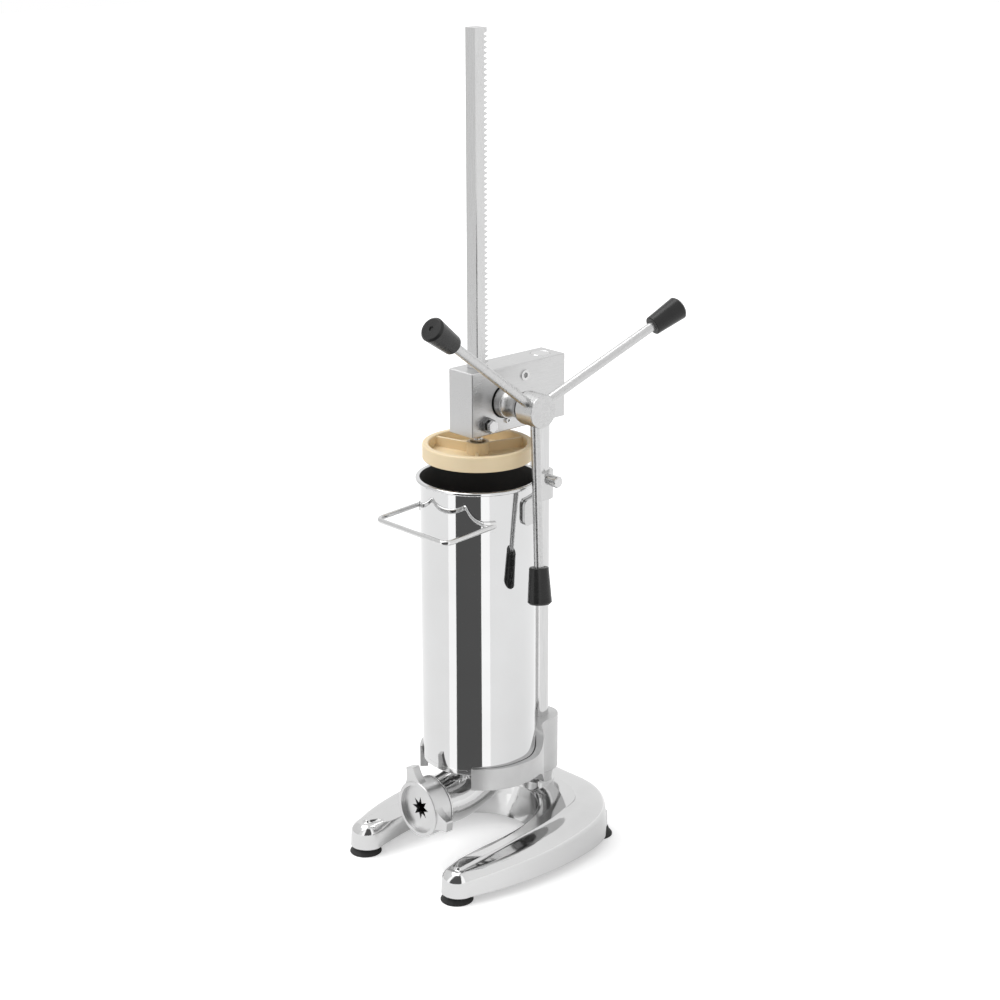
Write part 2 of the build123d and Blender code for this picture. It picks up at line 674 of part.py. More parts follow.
def make_plunger():
    """Plastic disc with a raised rim, a hub and three ribs."""
    top = plunger_bottom + plunger_height
    floor = plunger_bottom + plunger_floor
    inner = plunger_radius - plunger_rim
    body = upright(plunger_radius, plunger_bottom, top)
    body = body - upright(inner, floor, top + 1)
    rounds = [e for e in body.edges().filter_by(GeomType.CIRCLE) if e.center().Z > floor + 1]
    body = fillet(rounds, 1.5)
    low = [e for e in body.edges().filter_by(GeomType.CIRCLE)
           if e.center().Z < floor - 1 and e.radius > inner + 1]
    body = fillet(low, 1.2)
    body = body + upright(plunger_hub_radius, floor - 1, plunger_hub_top)
    high_rib = top - floor - 1.8
    for i, height in enumerate((high_rib, high_rib, low_rib)):
        rib = Pos(0, 0, floor - 1) * Box(inner + 2, rib_thickness, height + 1,
                                         align=(Align.MIN, Align.CENTER, Align.MIN))
        body = body + Rot(0, 0, rib_first_angle + 120 * i) * rib
    body = body - upright(washer_radius + 0.3, plunger_hub_top - hub_recess, plunger_hub_top + 1)
    body = body - upright(plunger_bolt_radius, 0, overall_height)
    return body - upright(washer_radius + 0.7, 0, plunger_bottom + 4.5)


pieces["plunger_disc"] = make_plunger()
seat_z = plunger_hub_top - hub_recess
pieces["plunger_washer"] = ring(washer_radius, plunger_bolt_radius, seat_z, seat_z + 1.5)
pieces["plunger_nut"] = (hex_z(10, seat_z + 1.5, seat_z + 6, 0, 0)
                         - upright(plunger_bolt_radius, 0, overall_height))
pieces["plunger_bolt"] = (upright(plunger_bolt_radius, plunger_bottom + 2, rack_bottom + rack_thread - 2)
                          + (upright(washer_radius + 0.3, plunger_bottom + 0.5, plunger_bottom + 4.5)
                             - hex_z(5, plunger_bottom - 1, plunger_bottom + 3, 0, 0)))


# ---- pinion shaft and handle -----------------------------------------------
def pinion_profile():
    """Involute gear whose space, not a tooth, faces the rack."""
    base_r = pitch_radius * math.cos(math.radians(pressure_angle))
    tip_r = pitch_radius + tooth_module
    root_r = pitch_radius - root_depth

    def roll(radius):
        a = math.acos(min(1.0, base_r / radius))
        return math.tan(a) - a

    half_tooth = (tooth_pitch / 2 - backlash) / 2 / pitch_radius
    steps = [base_r + (tip_r - base_r) * k / 4 for k in range(5)]
    flank = [(r, half_tooth + roll(pitch_radius) - roll(r)) for r in steps]
    edges = []
    for i in range(pinion_teeth):
        middle = math.pi + 2 * math.pi * (i + 0.5) / pinion_teeth

        def at(radius, angle):
            return (radius * math.cos(middle + angle), radius * math.sin(middle + angle))

        root_angle = flank[0][1]
        rise = [at(r, -a) for r, a in flank]
        fall = [at(r, a) for r, a in reversed(flank)]
        edges.append(Line(at(root_r, -root_angle), rise[0]))
        edges.append(Spline(rise))
        edges.append(Line(rise[-1], fall[0]))
        edges.append(Spline(fall))
        edges.append(Line(fall[-1], at(root_r, root_angle)))
        pitch = 2 * math.pi / pinion_teeth
        edges.append(Line(at(root_r, root_angle), at(root_r, pitch - root_angle)))
    return make_face(Curve() + edges)


def make_pinion_shaft():
    """Shaft with the pinion's teeth cut on it, one journal on each side."""
    teeth_width = rack_width - 0.4
    gear = extrude(Plane.YZ * pinion_profile(), amount=teeth_width / 2, both=True)
    body = Pos(0, shaft_y, shaft_z) * gear
    return body + rod_x(shaft_radius, -half_block - 4.5, hub_end - 3.5, shaft_y, shaft_z)


def make_shaft_collar():
    """Turned collar between the block and the hub, waisted in its outer half."""
    band_end = collar_start + 0.3 * collar_length
    waist = Spline([(band_end, ring_radius - 1), (collar_end - 0.4 * collar_length, waist_radius),
                    (collar_end, ring_radius)], tangents=[(1, -0.6), (1, 0.5)])
    band = Polyline([(collar_end, ring_radius), (collar_end, shaft_radius), (collar_start, shaft_radius),
                     (collar_start, ring_radius - 0.8), (collar_start + 0.8, ring_radius),
                     (band_end, ring_radius), (band_end, ring_radius - 1)])
    return Pos(0, shaft_y, shaft_z) * revolve(make_face(Curve() + [waist, band]), Axis.X)


def spoke_plane(index, distance):
    """Plane across an arm at a distance from the shaft's axis."""
    turn = math.radians(spoke_first_angle + 120 * index)
    lean = math.radians(spoke_lean)
    way = (math.sin(lean), math.cos(lean) * math.cos(turn), math.cos(lean) * math.sin(turn))
    length = distance / math.cos(lean)
    origin = (spoke_x + way[0] * length, shaft_y + way[1] * length, shaft_z + way[2] * length)
    return Plane(origin=origin, z_dir=way)


def make_spoke(index):
    start = shaft_radius + 1.5
    end = spoke_reach - knob_length + knob_depth
    return spoke_plane(index, start) * Cylinder(spoke_radius, end - start, align=BASE)


def make_knob(index):
    """Tapered grip, wider and chamfered at its free end, with a small dimple."""
    grip = Cone(knob_small, knob_large, knob_length, align=BASE)
    end = [e for e in grip.edges().filter_by(GeomType.CIRCLE) if e.center().Z > knob_length - 0.1]
    grip = chamfer(end, 2.0)
    near = [e for e in grip.edges().filter_by(GeomType.CIRCLE) if e.center().Z < 0.1]
    grip = fillet(near, 1.2)
    start = spoke_reach - knob_length
    grip = grip - Pos(0, 0, knob_length - 1.2) * Cylinder(2.4, 3, align=BASE)
    place = spoke_plane(index, start)
    return place * (grip - Cylinder(spoke_radius, knob_depth, align=BASE))


def make_hub():
    """Front hub, bored for the shaft and drilled for the three arms."""
    body = rod_x(hub_radius, hub_start, hub_end, shaft_y, shaft_z)
    edges = [e for e in body.edges().filter_by(GeomType.CIRCLE)]
    body = fillet(edges, 1.0)
    body = body - rod_x(shaft_radius, hub_start - 1, hub_end - 3.5, shaft_y, shaft_z)
    for i in range(3):
        body = body - spoke_plane(i, shaft_radius + 1.5) * Cylinder(spoke_radius, 40, align=BASE)
    grub = Pos(hub_start + 5, shaft_y, shaft_z) * Rot(spoke_first_angle + 60 - 90, 0, 0)
    return body - grub * Cylinder(2.5, hub_radius + 5, align=BASE)


def make_hub_screw():
    """Grub screw, flush in the hub, between two arms."""
    screw = Pos(0, 0, shaft_radius) * Cylinder(2.5, hub_radius - shaft_radius - 0.6, align=BASE)
    screw = screw - Pos(0, 0, hub_radius - 2.6) * extrude(hexagon(2.5), amount=5)
    return Pos(hub_start + 5, shaft_y, shaft_z) * Rot(spoke_first_angle + 60 - 90, 0, 0) * screw


pieces["pinion_shaft"] = make_pinion_shaft()
pieces["retaining_ring"] = (rod_x(13, -half_block - 2.5, -half_block - gap, shaft_y, shaft_z)
                            - rod_x(shaft_radius, -block_width, 0, shaft_y, shaft_z))
pieces["shaft_collar"] = make_shaft_collar()
pieces["handle_hub"] = make_hub()
pieces["hub_screw"] = make_hub_screw()
for i in range(3):
    pieces["spoke_" + str(i + 1)] = make_spoke(i)
    pieces["knob_" + str(i + 1)] = make_knob(i)


# ---- move the origin under the middle of the whole, and write ---------------
box = Compound([s for shape in pieces.values() for s in shape.solids()]).bounding_box()
middle = box.center()
shift = Pos(-middle.X, -middle.Y, -box.min.Z)
print("moved by", -middle.X, -middle.Y, -box.min.Z, "size", box.size)
os.makedirs("parts", exist_ok=True)
for name, shape in pieces.items():
    solids = [shift * s for s in shape.solids()]
    export_step(solids[0] if len(solids) == 1 else Compound(solids), "parts/" + name + ".step")
print(len(pieces), "pieces; rack travel per turn", 2 * math.pi * pitch_radius)
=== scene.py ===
# %% [markdown]
# # A hand-wound churro maker
# A steel cylinder stands in a cast cradle on a polished horseshoe base. A three-armed
# handle winds a toothed bar and a plastic plunger down into it. The shapes and the
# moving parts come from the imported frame; this file gives every surface its finish and
# builds again, more finely, the turned and polished pieces.

# %% Load the frame
import math
import bmesh
import bpy
from mathutils import Matrix, Vector


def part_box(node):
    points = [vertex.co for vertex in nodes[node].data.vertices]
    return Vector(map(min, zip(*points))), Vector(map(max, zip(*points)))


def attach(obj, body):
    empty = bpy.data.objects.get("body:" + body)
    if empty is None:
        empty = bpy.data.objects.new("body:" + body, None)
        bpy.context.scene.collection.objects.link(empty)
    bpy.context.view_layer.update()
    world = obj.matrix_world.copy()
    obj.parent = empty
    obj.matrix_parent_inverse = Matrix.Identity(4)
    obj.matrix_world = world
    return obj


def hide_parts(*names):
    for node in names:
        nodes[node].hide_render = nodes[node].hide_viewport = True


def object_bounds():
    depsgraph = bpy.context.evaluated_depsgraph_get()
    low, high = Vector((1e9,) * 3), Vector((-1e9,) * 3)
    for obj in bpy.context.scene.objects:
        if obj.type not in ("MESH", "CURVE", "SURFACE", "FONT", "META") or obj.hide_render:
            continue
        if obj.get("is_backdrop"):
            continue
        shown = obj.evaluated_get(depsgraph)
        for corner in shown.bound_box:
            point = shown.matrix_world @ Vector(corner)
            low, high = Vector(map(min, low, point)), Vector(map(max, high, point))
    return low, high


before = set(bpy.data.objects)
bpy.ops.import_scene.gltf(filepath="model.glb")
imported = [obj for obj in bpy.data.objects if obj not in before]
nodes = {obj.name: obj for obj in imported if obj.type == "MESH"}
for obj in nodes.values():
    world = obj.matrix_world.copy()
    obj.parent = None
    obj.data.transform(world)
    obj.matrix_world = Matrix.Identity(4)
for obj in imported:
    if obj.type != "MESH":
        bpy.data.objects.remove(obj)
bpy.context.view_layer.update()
mm = 0.001

# %% [markdown]
# ## The camera
# The photograph was taken from the front right, a little above the object, with a long
# lens. A long lens keeps upright edges almost parallel. The three directions of the
# camera are worked out from its azimuth and elevation, because a matrix of them leaves
# no doubt about which way is up.

# %% Camera at the photograph's viewing angle
azimuth = math.radians(47.413)
elevation = math.radians(18.011)
roll = math.radians(-0.112)
focal_pixels = 2198.3
image_width = 1000
sensor_width = 36.0
camera_place = Vector((1.522274, -1.398042, 1.040324))

back = Vector((math.sin(azimuth) * math.cos(elevation),
               -math.cos(azimuth) * math.cos(elevation), math.sin(elevation)))
level_right = Vector((math.cos(azimuth), math.sin(azimuth), 0.0))
level_up = back.cross(level_right)
right = math.cos(roll) * level_right + math.sin(roll) * level_up
up = -math.sin(roll) * level_right + math.cos(roll) * level_up

camera_data = bpy.data.cameras.new("camera")
camera_data.sensor_width = sensor_width
camera_data.lens = focal_pixels * sensor_width / image_width
camera = bpy.data.objects.new("camera", camera_data)
bpy.context.scene.collection.objects.link(camera)
turn = Matrix((right, up, back)).transposed().to_4x4()
camera.matrix_world = Matrix.Translation(camera_place) @ turn
bpy.context.scene.camera = camera
print("camera lens", round(camera_data.lens, 2), "mm")

# %% [markdown]
# ## Helpers for shader nodes
# A node tree in code is easier to read when one call adds a node, sets its inputs and
# links it. An input that is itself a socket is linked; anything else is a plain value.

# %% Shader helpers


def add(tree, kind, inputs=None, **settings):
    """Adds one node; inputs are sockets to link or plain values."""
    made = tree.nodes.new(kind)
    for key, value in settings.items():
        setattr(made, key, value)
    for key, value in (inputs or {}).items():
        if isinstance(value, bpy.types.NodeSocket):
            tree.links.new(value, made.inputs[key])
        else:
            made.inputs[key].default_value = value
    return made


def math_node(tree, operation, first, second=0.0):
    return add(tree, "ShaderNodeMath", {0: first, 1: second}, operation=operation).outputs[0]


def mix_colors(tree, factor, first, second):
    made = add(tree, "ShaderNodeMix", {0: factor, 6: first, 7: second}, data_type="RGBA")
    return made.outputs[2]


def remap(tree, value, low, high, new_low, new_high):
    made = add(tree, "ShaderNodeMapRange", {"Value": value, "From Min": low, "From Max": high,
                                            "To Min": new_low, "To Max": new_high})
    return made.outputs["Result"]


def grey(value, warmth=0.0):
    """A neutral colour; warmth above 0 leans to yellow and below 0 to blue."""
    return (value * (1 + warmth), value, value * (1 - warmth), 1.0)


# %% [markdown]
# ## Shared effects
# Drawn, ground, milled and cast metal differ in their fine marks, and new metal still
# has soft patches where it is a little duller. Each effect is one node group, so that
# every material can use it with its own sizes. A group only puts out values and
# normals: the shader itself stays in the material.

# %% Node groups for the fine marks


def new_group(name, inputs, outputs):
    """Shader node group with named float, vector inputs and outputs."""
    group = bpy.data.node_groups.new(name, "ShaderNodeTree")
    kinds = {"value": "NodeSocketFloat", "vector": "NodeSocketVector"}
    for label, kind in inputs:
        group.interface.new_socket(label, in_out="INPUT", socket_type=kinds[kind])
    for label, kind in outputs:
        group.interface.new_socket(label, in_out="OUTPUT", socket_type=kinds[kind])
    start = group.nodes.new("NodeGroupInput")
    end = group.nodes.new("NodeGroupOutput")
    return group, start.outputs, end.inputs


def make_lines_group():
    """Fine lines: a noise squeezed by a different amount along each axis."""
    group, given, result = new_group("fine lines", [("Vector", "vector"), ("Per metre", "vector")],
                                     [("Lines", "value")])
    squeezed = add(group, "ShaderNodeVectorMath", {0: given["Vector"], 1: given["Per metre"]},
                   operation="MULTIPLY")
    noise = add(group, "ShaderNodeTexNoise", {"Vector": squeezed.outputs[0], "Scale": 1.0,
                                              "Detail": 4.0, "Roughness": 0.65})
    group.links.new(noise.outputs["Fac"], result["Lines"])
    return group


def make_patches_group():
    """Large soft patches, as a value that runs from Low to High."""
    group, given, result = new_group("soft patches", [("Vector", "vector"), ("Scale", "value"),
                                                      ("Low", "value"), ("High", "value")],
                                     [("Value", "value")])
    noise = add(group, "ShaderNodeTexNoise", {"Vector": given["Vector"], "Scale": given["Scale"],
                                              "Detail": 3.0, "Roughness": 0.55})
    group.links.new(remap(group, noise.outputs["Fac"], 0.35, 0.65, given["Low"], given["High"]),
                    result["Value"])
    return group


def make_grain_group():
    """Cast skin: fine grain with a few small pits."""
    group, given, result = new_group("cast grain", [("Vector", "vector"), ("Per metre", "value")],
                                     [("Height", "value"), ("Pits", "value")])
    grain = add(group, "ShaderNodeTexNoise", {"Vector": given["Vector"], "Scale": given["Per metre"],
                                              "Detail": 5.0, "Roughness": 0.7})
    cell_scale = math_node(group, "MULTIPLY", given["Per metre"], 0.45)
    cells = add(group, "ShaderNodeTexVoronoi", {"Vector": given["Vector"], "Scale": cell_scale})
    pits = remap(group, cells.outputs["Distance"], 0.06, 0.16, 1.0, 0.0)
    height = math_node(group, "SUBTRACT", grain.outputs["Fac"], math_node(group, "MULTIPLY", pits, 0.5))
    group.links.new(height, result["Height"])
    group.links.new(pits, result["Pits"])
    return group


def make_edges_group():
    """Softened edges: a rounded normal, and a mask of where it differs from the flat one, which places
    painted highlights on edges.
    """
    group, given, result = new_group("soft edges", [("Radius", "value")],
                                     [("Normal", "vector"), ("Edge highlight", "value")])
    bevel = add(group, "ShaderNodeBevel", {"Radius": given["Radius"]}, samples=4)
    geometry = add(group, "ShaderNodeNewGeometry")
    agree = add(group, "ShaderNodeVectorMath", {0: bevel.outputs["Normal"], 1: geometry.outputs["Normal"]},
                operation="DOT_PRODUCT")
    group.links.new(bevel.outputs["Normal"], result["Normal"])
    group.links.new(remap(group, agree.outputs["Value"], 0.98, 0.8, 0.0, 1.0), result["Edge highlight"])
    return group


lines_group = make_lines_group()
patches_group = make_patches_group()
grain_group = make_grain_group()
edges_group = make_edges_group()


class Finish:
    """One material: its tree, its shader and the Object coordinates that it reads."""

    def __init__(self, name, **shader_values):
        self.material = bpy.data.materials.new(name)
        self.material.use_nodes = True
        self.tree = self.material.node_tree
        self.shader = self.tree.nodes["Principled BSDF"]
        for key, value in shader_values.items():
            self.shader.inputs[key.replace("_", " ")].default_value = value
        self.place = add(self.tree, "ShaderNodeTexCoord").outputs["Object"]

    def group(self, group, **inputs):
        made = add(self.tree, "ShaderNodeGroup", node_tree=group)
        for key, value in inputs.items():
            socket = made.inputs[key.replace("_", " ")]
            if isinstance(value, bpy.types.NodeSocket):
                self.tree.links.new(value, socket)
            else:
                socket.default_value = value
        return made.outputs

    def lines(self, x, y, z):
        """Fine lines; x, y and z say how many per metre lie across each axis."""
        return self.group(lines_group, Vector=self.place, Per_metre=(x, y, z))["Lines"]

    def patches(self, scale, low, high):
        return self.group(patches_group, Vector=self.place, Scale=scale, Low=low, High=high)["Value"]

    def grain(self, per_metre):
        return self.group(grain_group, Vector=self.place, Per_metre=per_metre)

    def edges(self, radius):
        return self.group(edges_group, Radius=radius)

    def bump(self, height, strength, distance, normal=None):
        inputs = {"Height": height, "Strength": strength, "Distance": distance}
        if normal is not None:
            inputs["Normal"] = normal
        return add(self.tree, "ShaderNodeBump", inputs).outputs["Normal"]

    def feed(self, name, socket):
        self.tree.links.new(socket, self.shader.inputs[name])


# %% [markdown]
# ## Metals
# Real stainless steel and aluminium reflect about two thirds of the light, so a white
# room looks light grey in them. That is why most colours here are greys of about 0.6 to
# 0.7 and not white. What tells one metal part from the next is how sharp its reflection
# is, and which way its fine marks run.

# %% Metal finishes


def mirror_steel():
    """Polished tube: a sharp reflection, slightly wavy, with faint upright draw marks."""
    made = Finish("mirror polished steel", Metallic=1.0)
    draw_marks = made.lines(700, 700, 5)
    made.feed("Base Color", mix_colors(made.tree, made.patches(9, 0.0, 1.0), grey(0.645), grey(0.68, -0.005)))
    made.feed("Roughness", remap(made.tree, draw_marks, 0.3, 0.7, 0.03, 0.06))
    waves = add(made.tree, "ShaderNodeTexNoise", {"Vector": made.place, "Scale": 12.0, "Detail": 1.0})
    soft = made.bump(waves.outputs["Fac"], 0.08, 0.001)
    made.feed("Normal", made.bump(draw_marks, 0.03, 0.0001, soft))
    return made.material


def black_lining():
    """Non-stick lining inside the cylinder: near black with a fine speckle."""
    made = Finish("black lining", Roughness=0.55)
    grain = made.grain(900)
    made.feed("Base Color", mix_colors(made.tree, grain["Pits"], grey(0.018), grey(0.035)))
    made.feed("Normal", made.bump(grain["Height"], 0.25, 0.0002))
    return made.material


bore_blend = 0.4 * mm


def bore_shade_mask(made, axis_height, radius, end):
    """1 inside a bore along Y at a height, in front of end, and 0 on the outside: where the bore's painted
    shade goes.
    """
    parts = add(made.tree, "ShaderNodeSeparateXYZ", {0: made.place}).outputs
    across = add(made.tree, "ShaderNodeCombineXYZ",
                 {"X": parts["X"], "Z": math_node(made.tree, "SUBTRACT", parts["Z"], axis_height)})
    reach = add(made.tree, "ShaderNodeVectorMath", {0: across.outputs[0]}, operation="LENGTH")
    inside = remap(made.tree, reach.outputs["Value"], radius, radius + bore_blend, 1.0, 0.0)
    return math_node(made.tree, "MULTIPLY", inside, remap(made.tree, parts["Y"], end - mm, end, 1.0, 0.0))


def polished_casting(name, bore=None):
    """Buffed cast aluminium with soft waves; given a bore, its inside is painted near black as painted shade,
    and made rougher.
    """
    made = Finish(name, Metallic=1.0)
    buffing = made.lines(160, 260, 420)
    skin = mix_colors(made.tree, made.patches(14, 0.0, 1.0), grey(0.645), grey(0.69))
    roughness = math_node(made.tree, "MULTIPLY", made.patches(30, 0.07, 0.11),
                          remap(made.tree, buffing, 0.3, 0.7, 0.85, 1.2))
    if bore:
        inside = bore_shade_mask(made, *bore)
        # painted shade: the deep bore is coloured near black where shadow falls inside it
        skin = mix_colors(made.tree, inside, skin, grey(0.03))
        roughness = math_node(made.tree, "MAXIMUM", roughness, math_node(made.tree, "MULTIPLY", inside, 0.6))
    made.feed("Base Color", skin)
    made.feed("Roughness", roughness)
    waves = add(made.tree, "ShaderNodeTexNoise", {"Vector": made.place, "Scale": 18.0, "Detail": 1.0})
    soft = made.bump(waves.outputs["Fac"], 0.12, 0.002, made.edges(0.0008)["Normal"])
    made.feed("Normal", made.bump(buffing, 0.03, 0.0002, soft))
    return made.material


def cast_skin(name, shade, roughness, per_metre, strength, edge):
    """Matte cast or blasted aluminium, with painted shade in its pits and a painted highlight along its
    edges.
    """
    made = Finish(name, Metallic=1.0)
    grain = made.grain(per_metre)
    edges = made.edges(edge)
    skin = mix_colors(made.tree, made.patches(24, 0.0, 1.0), grey(shade * 0.93), grey(shade))
    # painted shade: the small pits are coloured darker
    pit_shade_share = math_node(made.tree, "MULTIPLY", grain["Pits"], 0.35)
    skin = mix_colors(made.tree, pit_shade_share, skin, grey(shade * 0.6))
    # painted highlight: the base colour turns lighter along the softened edges
    made.feed("Base Color", mix_colors(made.tree, math_node(made.tree, "MULTIPLY", edges["Edge highlight"], 0.5),
                                       skin, grey(min(shade * 1.2, 0.85))))
    made.feed("Roughness", made.patches(60, roughness * 0.88, roughness * 1.12))
    made.feed("Normal", made.bump(grain["Height"], strength, 0.0003, edges["Normal"]))
    return made.material


def lined_metal(name, shade, roughness, marks, strength, edge=0.0004, warmth=0.0):
    """Ground, milled or drawn metal; marks says how many lines per metre cross each axis."""
    made = Finish(name, Metallic=1.0)
    lines = made.lines(*marks)
    edges = made.edges(edge)
    skin = mix_colors(made.tree, remap(made.tree, lines, 0.35, 0.65, 0.0, 1.0), grey(shade * 0.93, warmth),
                      grey(shade * 1.03, warmth))
    # painted highlight: the base colour turns lighter along the softened edges
    made.feed("Base Color", mix_colors(made.tree, math_node(made.tree, "MULTIPLY", edges["Edge highlight"], 0.4),
                                       skin, grey(min(shade * 1.2, 0.88), warmth)))
    made.feed("Roughness", math_node(made.tree, "MULTIPLY", made.patches(35, 0.9, 1.1),
                                     remap(made.tree, lines, 0.3, 0.7, roughness * 0.8, roughness * 1.2)))
    made.feed("Normal", made.bump(lines, strength, 0.0001, edges["Normal"]))
    return made.material


tube_steel = mirror_steel()
lining = black_lining()
buffed = polished_casting("buffed casting")
nozzle_low, nozzle_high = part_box("star_die")
nozzle_height = (nozzle_low.z + nozzle_high.z) / 2
bore_radius = 21.6 * mm
bore_depth = 50 * mm
# The spout's bore is painted near black as painted shade, from its mouth back to bore_depth.
spout_finish = polished_casting("buffed spout", (nozzle_height, bore_radius, nozzle_high.y + bore_depth))
cradle_cast = cast_skin("cradle casting", 0.58, 0.40, 1500, 0.16, 0.0008)
fine_cast = cast_skin("cap and die casting", 0.65, 0.32, 2400, 0.06, 0.0006)
milled = lined_metal("milled aluminium", 0.61, 0.33, (2600, 60, 2600), 0.10)
ground_bar = lined_metal("ground bar", 0.63, 0.27, (2400, 2400, 40), 0.08, 0.0003)
column_steel = lined_metal("column steel", 0.64, 0.10, (900, 900, 30), 0.03, 0.0003)
chrome = lined_metal("satin chrome", 0.58, 0.30, (500, 300, 300), 0.03, 0.0005)
zinc = lined_metal("zinc plate", 0.66, 0.16, (500, 500, 500), 0.06, 0.0003)
wire_steel = lined_metal("polished wire", 0.66, 0.09, (400, 400, 400), 0.03, 0.0002)
saddle_steel = lined_metal("satin strap", 0.60, 0.20, (60, 60, 2600), 0.06, 0.0004)
bronze = lined_metal("sintered bronze", 0.48, 0.38, (1800, 1800, 1800), 0.2, 0.0003, 0.35)
blackened = lined_metal("blackened steel", 0.055, 0.35, (900, 900, 900), 0.1, 0.0003)
dark_nut = lined_metal("dark plated nut", 0.20, 0.22, (700, 700, 700), 0.06, 0.0003)

# %% [markdown]
# ## Plastics and rubber
# The plunger is moulded in a cream food-grade plastic, the grips in black phenolic and
# the feet in black rubber. Plastic keeps its own colour where metal shows the room, so
# its colour is set here, and a moulded skin has a faint orange-peel bump.

# %% Plastic and rubber finishes


def cream_plastic():
    made = Finish("cream plastic", Roughness=0.42, Subsurface_Weight=0.1, Subsurface_Scale=0.003)
    made.shader.inputs["Subsurface Radius"].default_value = (1.0, 0.7, 0.4)
    tone = made.patches(18, 0.0, 1.0)
    made.feed("Base Color", mix_colors(made.tree, tone, (0.80, 0.645, 0.41, 1), (0.84, 0.69, 0.45, 1)))
    peel = add(made.tree, "ShaderNodeTexNoise", {"Vector": made.place, "Scale": 700.0, "Detail": 2.0})
    made.feed("Normal", made.bump(peel.outputs["Fac"], 0.08, 0.0002, made.edges(0.0006)["Normal"]))
    return made.material


def dark_moulding(name, shade, roughness, per_metre, strength):
    """Black phenolic or rubber, with a moulded skin and a trace of dust."""
    made = Finish(name, Specular_IOR_Level=0.32)
    dust = made.patches(40, 0.0, 1.0)
    made.feed("Base Color", mix_colors(made.tree, dust, grey(shade), grey(shade * 1.6)))
    made.feed("Roughness", made.patches(90, roughness * 0.9, roughness * 1.15))
    skin = add(made.tree, "ShaderNodeTexNoise", {"Vector": made.place, "Scale": per_metre, "Detail": 3.0})
    made.feed("Normal", made.bump(skin.outputs["Fac"], strength, 0.0002, made.edges(0.0005)["Normal"]))
    return made.material


cream = cream_plastic()
phenolic = dark_moulding("black phenolic", 0.014, 0.26, 500, 0.06)
rubber = dark_moulding("black rubber", 0.018, 0.6, 1200, 0.15)
# painted shade: the bushes are coloured near black, standing in for the shadow gap round the shaft between
# the block and the collar
bush_gap_shade = dark_moulding("black acetal", 0.016, 0.4, 900, 0.05)

# %% [markdown]
# ## Finishes on the frame's own pieces
# Most pieces are already the right shape, so they only need their finish. The table
# reads like the maker's parts list: one finish, and the pieces that have it.

# %% Give each piece of the frame its finish
finish_of = {
    buffed: ["base_casting"],
    spout_finish: ["spout_casting"],
    cradle_cast: ["cradle_casting"],
    fine_cast: ["nozzle_cap", "star_die"],
    milled: ["head_block"],
    ground_bar: ["rack", "pinion_shaft"],
    column_steel: ["column", "base_collar"],
    chrome: ["handle_hub", "shaft_collar", "spoke_1", "spoke_2", "spoke_3"],
    zinc: ["column_bolt", "base_washer", "socket_screw", "head_lock_screw", "rack_pressure_bolt",
           "oil_plug", "bush_screw", "plunger_nut", "plunger_bolt", "retaining_ring", "hub_screw",
           "saddle_screw", "foot_screws"],
    blackened: ["plunger_washer"],
    dark_nut: ["rack_lock_nut"],
    wire_steel: ["wire_handle", "handle_tabs"],
    saddle_steel: ["upper_saddle"],
    tube_steel: ["cylinder_tube"],
    bronze: ["rack_pad"],
    bush_gap_shade: ["bush_left", "bush_right"],
    cream: ["plunger_disc"],
    phenolic: ["knob_1", "knob_2", "knob_3"],
    rubber: ["foot_front_left", "foot_front_right", "foot_rear_left", "foot_rear_right", "die_seal"],
}
for finish, names in finish_of.items():
    for name in names:
        nodes[name].data.materials.clear()
        nodes[name].data.materials.append(finish)
bare = sorted(set(nodes) - {name for names in finish_of.values() for name in names})
print("pieces without a finish:", bare)

# %% [markdown]
# ## Turned pieces with Geometry Nodes
# The cylinder is a body of revolution: one profile, turned about an upright axis. A
# lathe does this in metal, and Curve to Mesh does it here. The profile is a closed
# line of radius and height, the path is a circle, and the number of steps is an input,
# so that the mirror finish has no visible facets.

# %% The turning tree


def make_turning_tree():
    """Turns a closed profile about the Z axis; profile x is the radius less Radius, y is minus the height."""
    tree = bpy.data.node_groups.new("turned piece", "GeometryNodeTree")
    for label, kind in (("Geometry", "NodeSocketGeometry"), ("Radius", "NodeSocketFloat"),
                        ("Steps", "NodeSocketInt"), ("Finish", "NodeSocketMaterial")):
        tree.interface.new_socket(label, in_out="INPUT", socket_type=kind)
    tree.interface.new_socket("Geometry", in_out="OUTPUT", socket_type="NodeSocketGeometry")
    given = tree.nodes.new("NodeGroupInput").outputs
    result = tree.nodes.new("NodeGroupOutput").inputs
    profile = add(tree, "GeometryNodeMeshToCurve", {"Mesh": given["Geometry"]})
    path = add(tree, "GeometryNodeCurvePrimitiveCircle", {"Radius": given["Radius"],
                                                          "Resolution": given["Steps"]})
    turned = add(tree, "GeometryNodeCurveToMesh", {"Curve": path.outputs["Curve"],
                                                   "Profile Curve": profile.outputs["Curve"]})
    real = add(tree, "GeometryNodeRealizeInstances", {"Geometry": turned.outputs["Mesh"]})
    done = add(tree, "GeometryNodeSetMaterial", {"Geometry": real.outputs["Geometry"],
                                                 "Material": given["Finish"]})
    tree.links.new(done.outputs["Geometry"], result["Geometry"])
    return tree


turning_tree = make_turning_tree()


def run_tree(source, tree, inputs):
    """Runs a Geometry Nodes tree on an object and returns the result as a plain mesh."""
    modifier = source.modifiers.new(tree.name, "NODES")
    modifier.node_group = tree
    for item in tree.interface.items_tree:
        if item.item_type == "SOCKET" and item.in_out == "INPUT" and item.name in inputs:
            modifier[item.identifier] = inputs[item.name]
    bpy.context.view_layer.update()
    evaluated = source.evaluated_get(bpy.context.evaluated_depsgraph_get())
    mesh = bpy.data.meshes.new_from_object(evaluated)
    source.modifiers.remove(modifier)
    return mesh


def new_object(name, mesh):
    made = bpy.data.objects.new(name, mesh)
    bpy.context.scene.collection.objects.link(made)
    return made


